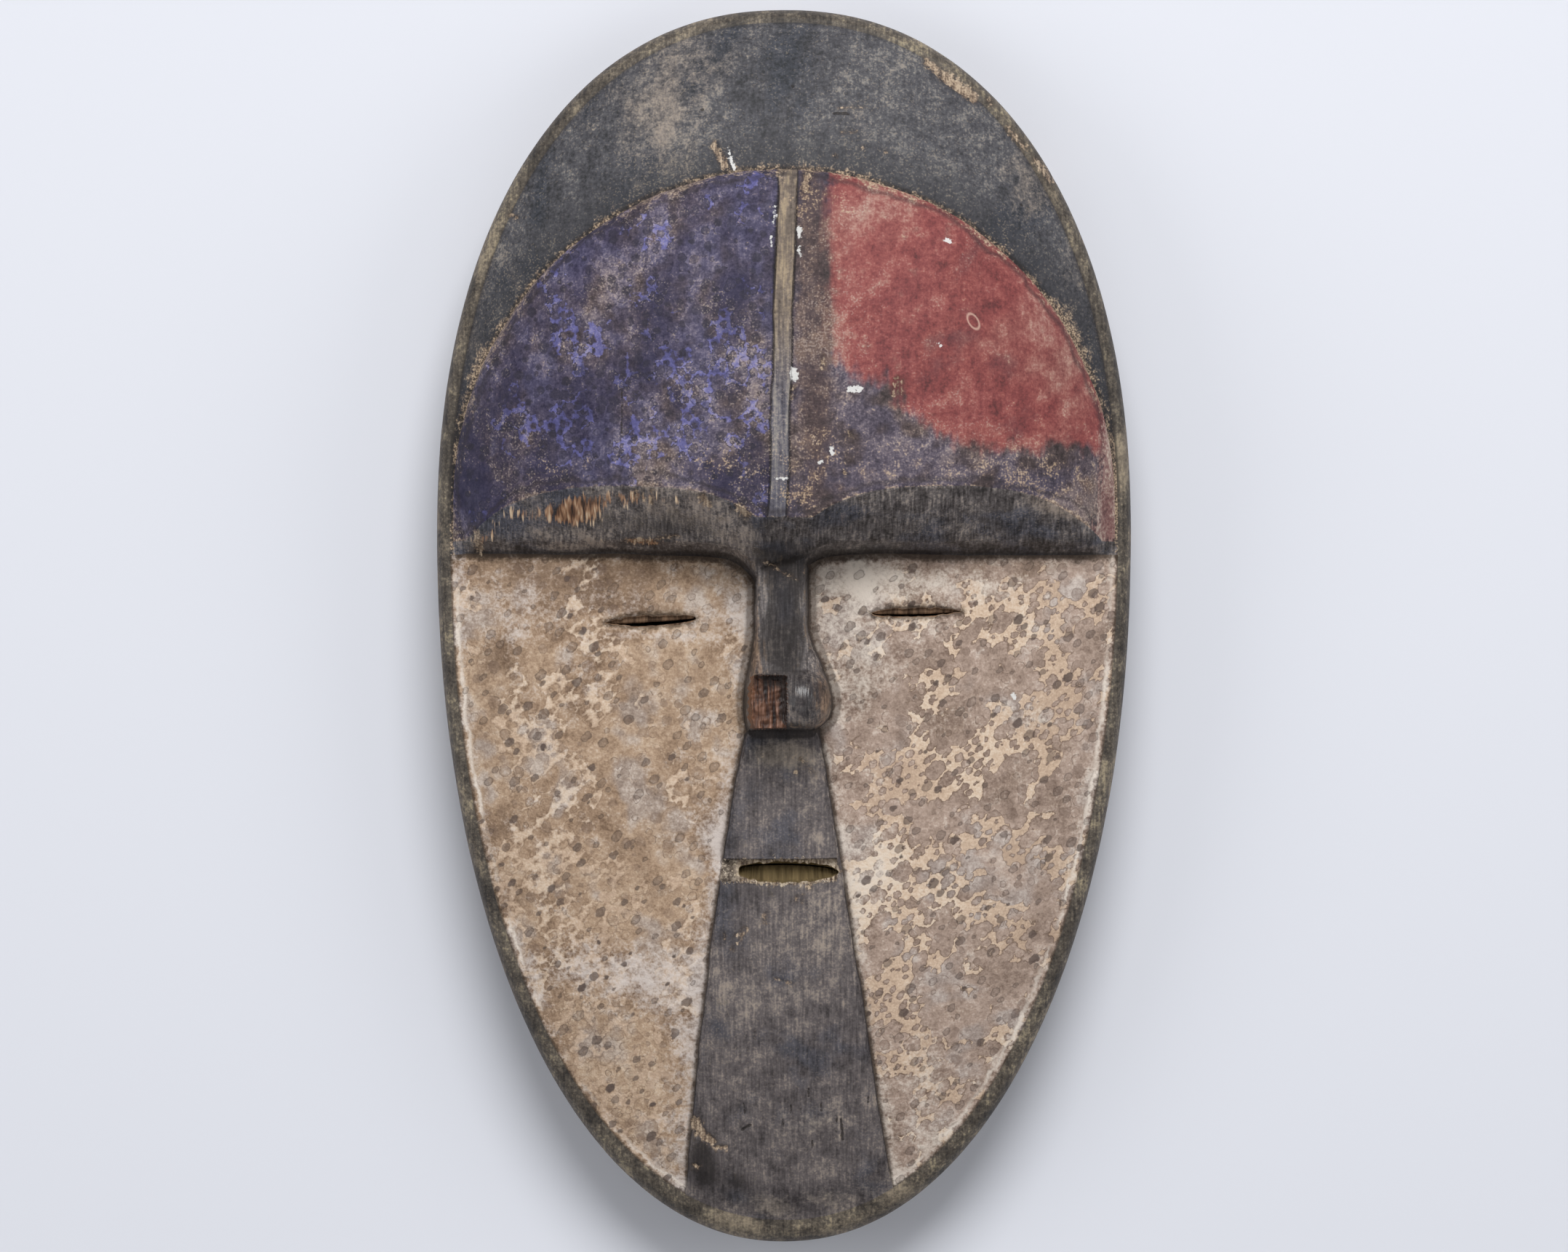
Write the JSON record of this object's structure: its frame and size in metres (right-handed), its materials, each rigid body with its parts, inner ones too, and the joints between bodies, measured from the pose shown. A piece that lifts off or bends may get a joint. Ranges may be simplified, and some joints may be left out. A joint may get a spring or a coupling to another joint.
{
  "type": "carved wooden face mask",
  "caption": "Oval carved wooden face mask with a domed forehead, slit eyes, long nose and slit mouth, hollowed at the back to be worn or hung.",
  "frame": {"origin": "centre of the outline, on the plane that the rim of the hollow back rests on", "axes": "+X towards the viewer's right, +Y towards the crown, +Z out of the face; the mask lies face up"},
  "size_m": [0.2252, 0.4, 0.087],
  "materials": {
    "carved_wood": "worn matt pigment on carved wood"
  },
  "bodies": {
    "root": {"mask": "carved_wood"}
  },
  "joints": []
}
